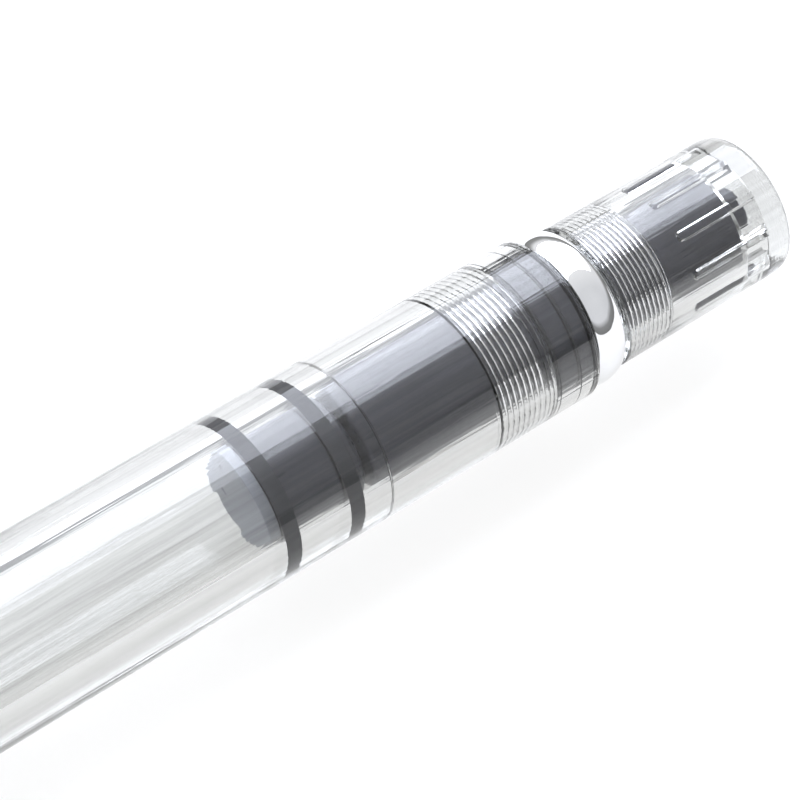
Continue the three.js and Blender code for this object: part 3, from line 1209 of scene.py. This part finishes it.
@dataclass(frozen=True)
class WritingEnd:
    """The grip section with the nib, the feed and their collar."""

    tenon: float = 4.85
    bore: float = 4.0
    ink_hole: float = 2.6
    nib_radius: float = 3.35
    nib_sheet: float = 0.28
    nib_tip: float = -126.0
    breather: float = -111.0
    breather_radius: float = 0.6
    slit: float = 0.06
    shoulder: float = -84.1  # rear end of the grip, in front of its tenon
    grip_rear: float = 5.65
    grip_front: float = 4.8
    waist_rear: float = -90.0
    waist_front: float = -98.0
    ink_hole_end: float = -83.0
    nib_bend: float = -108.0  # where the nib begins to curl in towards its tip
    nib_curl: float = 2.55  # how much less the curl's radius is at the tip
    nib_shoulder: float = -107.0  # where the nib begins to narrow
    nib_half_width: float = 3.02
    tip_half_width: float = 0.34
    tipping_radius: float = 0.36
    tipping_reach: float = 0.42  # half the length of the tipping bead
    tipping_drop: float = 0.22
    collar_bore: float = 3.42
    feed_stem: float = 1.6
    feed_shoulder: float = -92.0
    feed_round: float = -96.0  # the feed is round behind this
    feed_step: float = -97.5  # its top steps down here
    feed_ledge: float = 0.85  # height of its top behind the step
    feed_flat: float = -0.3  # height of its top in front of the step
    fins_front: float = -113.6
    fins_rear: float = -104.4
    fin_pitch: float = 0.62
    fin_slot: float = 0.85  # depth of the slots between the fins
    ink_channel: float = 0.12

    def section(self) -> bpy.types.Object:
        """Turns the clear grip section, waisted for the fingers.

        Returns:
            The grip section.
        """
        front, rear, _ = span("grip_section")
        o_ring = span("section_o_ring")
        corners = [
            Corner(rear, self.ink_hole, 0.1),
            Corner(rear, self.tenon, 0.2),
            Corner(o_ring[1] + 0.1, self.tenon, 0.04),
            Corner(o_ring[1] + 0.1, self.tenon - 0.5, 0.04),
            Corner(o_ring[0] - 0.1, self.tenon - 0.5, 0.04),
            Corner(o_ring[0] - 0.1, self.tenon, 0.04),
            Corner(self.shoulder, self.tenon, 0.05),
            Corner(self.shoulder, self.grip_rear, 0.15),
            Corner(self.waist_rear, self.grip_rear - 0.2, 2.0),
            Corner(self.waist_front, self.grip_front + 0.15, 2.0),
            Corner(front, self.grip_front, 0.1),
            Corner(front, self.bore, 0.05),
            Corner(self.ink_hole_end, self.bore, 0.1),
            Corner(self.ink_hole_end, self.ink_hole, 0.1),
        ]
        return turned("clear_grip_section", corners)

    def lip_ring(self) -> bpy.types.Object:
        """Turns the chromed lip that stops the fingers short of the nib.

        Returns:
            The ring.
        """
        front, rear, radius = span("section_ring")
        inner = self.bore + 0.05
        middle = (front + rear) / 2 - 0.3
        corners = [
            Corner(rear, inner, 0.05),
            Corner(rear, radius - 0.35, 0.1),
            Corner(middle + 0.45, radius, 0.35),
            Corner(middle - 0.45, radius, 0.35),
            Corner(front, radius - 0.35, 0.1),
            Corner(front, inner, 0.05),
        ]
        return turned("chrome_section_ring", corners)

    def nib_top(self, station: float) -> float:
        """Works out the curl of the nib, which tightens towards the tip.

        Args:
            station: Place along the pen.

        Returns:
            The radius of the nib's outside.
        """
        slope = (station - self.nib_bend) / (self.nib_tip - self.nib_bend)
        return self.nib_radius - self.nib_curl * smooth(slope) if slope > 0 else self.nib_radius

    def nib_edge(self, station: float) -> float:
        """Works out the nib's outline: parallel sides, then long tapering tines.

        Args:
            station: Place along the pen.

        Returns:
            Half the width.
        """
        length = (station - self.nib_shoulder) / (self.nib_tip - self.nib_shoulder)
        if length <= 0:
            return self.nib_half_width
        taper = (1 - length**1.35) ** 0.9
        return self.tip_half_width + (self.nib_half_width - self.tip_half_width) * taper

    def slit_edge(self, station: float) -> float:
        """Works out the gap between the tines: the breather hole, then the slit.

        Args:
            station: Place along the pen.

        Returns:
            Half the gap, which is nothing behind the hole.
        """
        off = abs(station - self.breather)
        if off < self.breather_radius:
            return max(math.sqrt(self.breather_radius**2 - off**2), self.slit / 2)
        return self.slit / 2 if station < self.breather else 0.0

    def nib(self) -> bpy.types.Object:
        """Forms the steel nib: two bent tines, a breather hole and a slit; its tipping bead is a
        separate piece.

        Returns:
            The nib.
        """
        rear = span("nib")[1]
        middle, reach = self.breather, self.breather_radius
        hole = [middle + reach * math.cos(math.pi * step / 12) for step in range(13)]
        run_in = [rear + (hole[0] + 0.3 - rear) * step / 24 for step in range(25)]
        run_out = [hole[-1] + (self.nib_tip - hole[-1]) * step / 40 for step in range(1, 41)]
        stations = run_in + hole + run_out
        across = 14
        places: list[Vector] = []
        rows: list[list[int]] = []
        for station in stations:
            row = []
            for side in (-1, 1):
                for step in range(across + 1):
                    share = step / across if side > 0 else 1 - step / across
                    inner, outer = self.slit_edge(station), self.nib_edge(station)
                    y = side * (inner + (outer - inner) * share)
                    top = self.nib_top(station)
                    row.append(len(places))
                    places.append(Vector((station, y, math.sqrt(max(top**2 - y**2, 0.0)))))
            rows.append(row)
        faces = []
        for first, second in zip(rows, rows[1:]):
            for step in range(2 * across + 1):
                if step == across:
                    continue
                faces.append((first[step], first[step + 1], second[step + 1], second[step]))
        sheet = mesh_object("steel_nib", places, faces)
        even_faces(sheet.data, weld=1e-7)
        up = sum((face.normal.z for face in sheet.data.polygons), 0.0)
        thick = sheet.modifiers.new("sheet", "SOLIDIFY")
        thick.thickness = self.nib_sheet * MM
        thick.offset = -1.0 if up > 0 else 1.0
        thick.use_even_offset = True
        edge = sheet.modifiers.new("eased edges", "BEVEL")
        edge.width = 0.04 * MM
        edge.segments = 2
        edge.limit_method = "ANGLE"
        return sheet

    def tipping(self) -> bpy.types.Object:
        """Turns the hard bead that is welded under the nib's tip.

        Returns:
            The tipping bead.
        """
        middle = self.nib_tip - 0.1
        reach = self.tipping_reach
        corners = [Corner(middle - reach, 0.0)]
        for step in range(1, 12):
            angle = math.pi * step / 12
            radius = self.tipping_radius * math.sin(angle)
            corners.append(Corner(middle - reach * math.cos(angle), radius))
        corners.append(Corner(middle + reach, 0.0))
        bead = turned("nib_tipping", corners, 32)
        lift = self.nib_top(self.nib_tip) - self.tipping_drop
        bead.data.transform(Matrix.Translation((0.0, 0.0, lift * MM)))
        return bead

    def feed(self) -> bpy.types.Object:
        """Turns the black feed, flat under the nib, with thin fins across its belly.

        Returns:
            The feed.
        """
        front, rear, radius = span("feed")
        corners = [
            Corner(rear, 0.0),
            Corner(rear, self.feed_stem, 0.3),
            Corner(self.feed_shoulder, self.feed_stem, 0.1),
            Corner(self.feed_shoulder, radius, 0.15),
            Corner(self.fins_rear, radius, steps=120),
            Corner(self.fins_front, radius),
            Corner(-114.0, radius - 0.35, 0.4, steps=8),
            Corner(front, 0.5, 0.3),
            Corner(front, 0.0),
        ]

        def relief(station: float, angle: float, at: float) -> float:
            """Flattens the top, cuts the fins' slots and the ink channel.

            Args:
                station: Place along the pen.
                angle: Place round the pen.
                at: The plain radius there.

            Returns:
                The radius with the cuts made.
            """
            up = math.sin(angle)
            if station > self.feed_round:
                return at
            if station > self.feed_step:
                return min(at, self.feed_ledge / up) if up > 1e-3 else at
            if self.fins_front < station < self.fins_rear and up < 0.35:
                slot = (station - self.fins_front) / self.fin_pitch % 1.0
                at -= self.fin_slot * smooth((0.24 - abs(slot - 0.5)) / 0.05)
            if up > -0.15:
                return min(at, self.ink_channel)
            return min(at, self.feed_flat / up) if up > -0.999 else at

        return turned("black_feed", corners, 120, relief)

    def build(self) -> None:
        """Builds, dresses and reports the writing end."""
        fit(self.section(), Body.BARREL, "grip_section", CLEAR)
        fit(self.lip_ring(), Body.BARREL, "section_ring", CHROME)
        low, high, radius = span("section_o_ring")
        wire = (high - low) / 2
        seal = round_wire("sealing_section_o_ring", (low + high) / 2, radius - wire, wire)
        fit(seal, Body.BARREL, "section_o_ring", SEAL)
        low, high, radius = span("nib_housing")
        collar = ring("black_nib_housing", low, high, self.collar_bore, radius, 0.1)
        fit(collar, Body.BARREL, "nib_housing", BLACK)
        fit(self.nib(), Body.BARREL, "nib", STEEL)
        fit(self.tipping(), Body.BARREL, None, STEEL)
        fit(self.feed(), Body.BARREL, "feed", BLACK)


# ---- cap ----------------------------------------------------------------------------------------


@dataclass(frozen=True)
class Cap:
    """The clear cap with its liner, chromed trim and clip."""

    bore: float = 6.4
    wall_top: float = 0.9
    stem: float = 2.4
    clip_turn: float = math.radians(-157)
    clip_width: float = 2.4
    clip_thickness: float = 0.72
    ball_station: float = -98.9
    ball_radius: float = 1.05
    ball_height: float = 0.62
    clip_taper: float = 0.25  # share of the width that the clip loses by its free end
    slot_floor: float = 5.3
    liner_wall: float = 0.35
    liner_end: float = 0.7
    clip_path: tuple[Point, ...] = (
        (-135.85, 5.6),
        (-135.85, 7.9),
        (-135.5, 8.75),
        (-134.0, 9.0),
        (-126.0, 9.12),
        (-114.0, 9.1),
        (-104.0, 8.85),
        (-100.0, 8.6),
        (-98.0, 8.5),
    )

    def shell(self) -> bpy.types.Object:
        """Turns the clear cap, recessed for its band.

        Returns:
            The clear shell.
        """
        top, lip, radius = span("cap_shell")
        band = span("cap_band")
        corners = [
            Corner(lip, self.bore, 0.15),
            Corner(lip, radius, 0.15),
            Corner(band[1] + 0.1, radius, 0.04),
            Corner(band[1] + 0.1, radius - 0.3, 0.03),
            Corner(band[0] - 0.1, radius - 0.3, 0.03),
            Corner(band[0] - 0.1, radius, 0.04),
            Corner(top, radius - 0.35, 0.3),
            Corner(top, self.stem + 0.1, 0.05),
            Corner(top + self.wall_top, self.stem + 0.1, 0.05),
            Corner(top + self.wall_top, self.bore - 0.2, 0.3),
        ]
        return turned("clear_cap_shell", corners)

    def band(self) -> bpy.types.Object:
        """Turns the chromed band that strengthens the cap's lip.

        Returns:
            The band.
        """
        front, rear, radius = span("cap_band")
        inner = radius - 0.4
        corners = [
            Corner(rear, inner, 0.03),
            Corner(rear, radius - 0.05, 0.12),
            Corner(rear - 0.9, radius, 0.3),
            Corner(front + 0.9, radius, 0.3),
            Corner(front, radius - 0.05, 0.12),
            Corner(front, inner, 0.03),
        ]
        return turned("chrome_cap_band", corners)

    def liner(self) -> bpy.types.Object:
        """Turns the inner cap that keeps the nib from drying.

        Returns:
            The inner cap.
        """
        front, rear, radius = span("inner_cap")
        inner = radius - self.liner_wall
        corners = [
            Corner(rear, inner, 0.1),
            Corner(rear, radius, 0.1),
            Corner(front, radius, 0.8),
            Corner(front, 0.0),
            Corner(front + self.liner_end, 0.0),
            Corner(front + self.liner_end, inner, 0.6),
        ]
        return turned("clear_inner_cap", corners)

    def clip_ring(self) -> bpy.types.Object:
        """Turns the chromed ring that holds the clip's root, with a slot for it.

        Returns:
            The ring.
        """
        front, rear, radius = span("clip_ring")
        inner = self.stem + 0.1
        corners = [
            Corner(rear, inner, 0.05),
            Corner(rear, radius, 0.1, steps=20),
            Corner(front, radius, 0.2),
            Corner(front, inner, 0.05),
        ]
        slot_half = self.clip_width / 2 + 0.2

        def relief(station: float, angle: float, at: float) -> float:
            """Cuts the slot by drawing the rim in where the clip's root passes.

            Args:
                station: Place along the pen.
                angle: Place round the pen.
                at: The plain radius there.

            Returns:
                The radius with the cuts made.
            """
            off = (angle - (math.pi / 2 + self.clip_turn) + math.pi) % TURN - math.pi
            across = abs(at * math.sin(off))
            in_slot = station > front + 0.8 and abs(off) < 1.2 and across < slot_half
            return min(at, self.slot_floor) if in_slot else at

        return turned("chrome_clip_ring", corners, 288, relief)

    def finial(self) -> bpy.types.Object:
        """Turns the clear domed finial and its screw.

        Returns:
            The finial.
        """
        front, rear, radius = span("cap_finial")
        seat = span("clip_ring")[0] - 0.1
        screw = Thread(seat + 1.2, rear, 0.45, -0.15, self.stem)
        corners = [
            Corner(front, 0.0),
            Corner(front, radius - 1.6, 1.2),
            Corner(seat - 1.1, radius, 0.9),
            Corner(seat, radius, 0.1),
            Corner(seat, self.stem, 0.05),
            Corner(screw.low, self.stem, steps=screw.steps(12)),
            Corner(rear, self.stem, 0.1),
            Corner(rear, 0.0),
        ]
        return turned("clear_cap_finial", corners, relief=screw.relief)

    def clip(self) -> bpy.types.Object:
        """Forms the sprung clip: a bent, slightly crowned strip that ends in a rounded ball.

        Returns:
            The clip.
        """
        line = smooth_path([Vector((x, 0.0, z)) for x, z in self.clip_path], 10)
        length = len(line) - 1
        round_steps = 20
        places: list[Vector] = []
        rows: list[list[int]] = []
        for index, place in enumerate(line):
            t = index / length
            ahead = (line[min(index + 1, length)] - line[max(index - 1, 0)]).normalized()
            up = Vector((0.0, 1.0, 0.0)).cross(ahead).normalized()
            half_width = self.clip_width / 2 * (1 - self.clip_taper * t)
            off = (place.x - self.ball_station) / self.ball_radius
            ball = math.exp(-(off**2)) if t > 0.5 else 0.0
            half_height = self.clip_thickness / 2 + self.ball_height * ball
            half_width = half_width * (1 - ball) + self.ball_radius * ball
            end = smooth((1 - t) / 0.02)
            if t > 0.98:
                half_width *= max(math.sqrt(end), 0.02)
                half_height *= max(math.sqrt(end), 0.02)
            row = []
            power = 0.45 + 0.55 * ball
            for step in range(round_steps):
                angle = TURN * step / round_steps
                c, s = math.cos(angle), math.sin(angle)
                y = half_width * math.copysign(abs(c) ** power, c)
                z = half_height * math.copysign(abs(s) ** power, s)
                row.append(len(places))
                places.append(place + Vector((0.0, y, 0.0)) + up * z)
            rows.append(row)
        faces = [tuple(rows[0]), tuple(reversed(rows[-1]))]
        for first, second in zip(rows, rows[1:]):
            for step in range(round_steps):
                after = (step + 1) % round_steps
                faces.append((first[step], second[step], second[after], first[after]))
        strip = mesh_object("chrome_clip", places, faces)
        strip.data.transform(Matrix.Rotation(self.clip_turn, 4, "X"))
        return strip

    def build(self) -> None:
        """Builds, dresses and reports the cap and its clip."""
        fit(self.shell(), Body.CAP, "cap_shell", CLEAR)
        fit(self.band(), Body.CAP, "cap_band", CHROME)
        fit(self.liner(), Body.CAP, "inner_cap", CLEAR)
        fit(self.clip_ring(), Body.CAP, "clip_ring", CHROME)
        fit(self.finial(), Body.CAP, "cap_finial", CLEAR)
        low, high, radius = span("finial_nut")
        nut = ring("brass_finial_nut", low, high, self.stem + 0.05, radius, 0.12)
        fit(nut, Body.CAP, "finial_nut", BRASS)
        fit(self.clip(), Body.CLIP, "clip", CHROME)


def smooth_path(points: list[Vector], steps: int) -> list[Vector]:
    """Runs a smooth curve through points.

    Args:
        points: The points, in order.
        steps: Steps between neighbouring points.

    Returns:
        The points along the curve.
    """
    line = []
    padded = [points[0] * 2 - points[1], *points, points[-1] * 2 - points[-2]]
    for a, b, c, d in zip(padded, padded[1:], padded[2:], padded[3:]):
        for step in range(steps):
            t = step / steps
            square = (2 * a - 5 * b + 4 * c - d) * t**2
            cube = (3 * b - a - 3 * c + d) * t**3
            line.append(0.5 * (2 * b + (c - a) * t + square + cube))
    return [*line, points[-1]]


# ---- studio -------------------------------------------------------------------------------------


@dataclass(frozen=True)
class Studio:
    """A white floor, a large soft light over and behind the pen, and the camera."""

    floor_size: float = 6000.0
    aim: tuple[float, float, float] = (-32.8, 0.4, 0.0)
    azimuth: float = -37.16
    elevation: float = 51.22
    distance: float = 210.5
    lens: float = 130.5
    sensor: float = 36.0
    softbox_place: tuple[float, float, float] = (200.0, 305.0, 440.0)
    softbox_size: Point = (1600.0, 670.0)
    softbox_radiance: float = 5.2
    softbox_colour: str = "EDF2FF"

    def floor(self) -> None:
        """Lays the white floor just under the pen."""
        drop = CAD_BOX[0].z / MM - 0.02
        half = self.floor_size / 2
        outline = ((-half, -half), (half, -half), (half, half), (-half, half))
        corners = [Vector((x, y, drop)) for x, y in outline]
        sheet = mesh_object("studio_floor", corners, [(0, 1, 2, 3)])
        sheet.data.materials.append(OPAL.material())

    def softbox(self) -> None:
        """Hangs the soft light that faces the pen, its length along the pen."""
        lamp = bpy.data.lights.new("softbox", "AREA")
        lamp.shape = "RECTANGLE"
        lamp.size, lamp.size_y = (side * MM for side in self.softbox_size)
        lamp.energy = self.softbox_radiance * math.pi * lamp.size * lamp.size_y
        lamp.color = linear(self.softbox_colour)[:3]
        made = bpy.data.objects.new("softbox", lamp)
        place = Vector(self.softbox_place)
        made.location = place * MM
        facing = (Vector(self.aim) - place) * Vector((0.0, 1.0, 1.0))
        made.rotation_euler = facing.to_track_quat("-Z", "Y").to_euler()
        bpy.context.scene.collection.objects.link(made)

    def surroundings(self) -> None:
        """Wraps the set in a white tent: darker low down, and darkest behind the camera."""
        world = bpy.data.worlds.new("white_tent")
        world.use_nodes = True
        tree = world.node_tree
        tree.nodes.clear()
        place = add_node(tree, "ShaderNodeTexCoord")
        parts = add_node(
            tree, "ShaderNodeSeparateXYZ", links={"Vector": place.outputs["Generated"]}
        )
        height = add_node(
            tree,
            "ShaderNodeValToRGB",
            {"stops": ((0.0, "8A8A88"), (0.16, "9C9C9B"), (0.3, "F4F4F5"), (1.0, "FFFFFF"))},
            {"Fac": parts.outputs["Z"]},
        )
        side = add_node(
            tree,
            "ShaderNodeMapRange",
            {"From Min": -1.0, "From Max": 1.0},
            {"Value": parts.outputs["Y"]},
        )
        depth = add_node(
            tree,
            "ShaderNodeValToRGB",
            {"stops": ((0.0, "EAEBED"), (0.3, "E2E3E5"), (0.6, "FFFFFF"), (1.0, "FFFFFF"))},
            {"Fac": side.outputs["Result"]},
        )
        both = add_node(
            tree,
            "ShaderNodeVectorMath",
            {"operation": "MULTIPLY"},
            {0: height.outputs["Color"], 1: depth.outputs["Color"]},
        )
        back = add_node(
            tree, "ShaderNodeBackground", {"Strength": 1.0}, {"Color": both.outputs["Vector"]}
        )
        add_node(tree, "ShaderNodeOutputWorld", links={"Surface": back.outputs["Background"]})
        bpy.context.scene.world = world

    def camera(self) -> None:
        """Sets the camera up at its viewing angle."""
        a, e = math.radians(self.azimuth), math.radians(self.elevation)
        back = Vector((math.sin(a) * math.cos(e), -math.cos(a) * math.cos(e), math.sin(e)))
        lens = bpy.data.cameras.new("camera")
        lens.lens, lens.sensor_width = self.lens, self.sensor
        lens.clip_start, lens.clip_end = 0.01, 20.0
        made = bpy.data.objects.new("camera", lens)
        made.location = (Vector(self.aim) + back * self.distance) * MM
        made.rotation_euler = (-back).to_track_quat("-Z", "Y").to_euler()
        bpy.context.scene.collection.objects.link(made)
        bpy.context.scene.camera = made

    def build(self) -> None:
        """Builds the set."""
        self.floor()
        self.softbox()
        self.surroundings()
        self.camera()
        bpy.context.scene.view_settings.view_transform = "Standard"


class Assembly(Protocol):
    """Anything that can build and dress its own pieces."""

    def build(self) -> None:
        """Builds, dresses and reports every piece."""


def main() -> None:
    """Builds the pen's sub-assemblies in order, then the set around it."""
    pen: list[Assembly] = [BarrelUnit(), FillingKnob(), Piston(), WritingEnd(), Cap()]
    for assembly in [*pen, Studio()]:
        LOG.info("building %s", type(assembly).__name__)
        assembly.build()


if __name__ == "__main__":
    main()
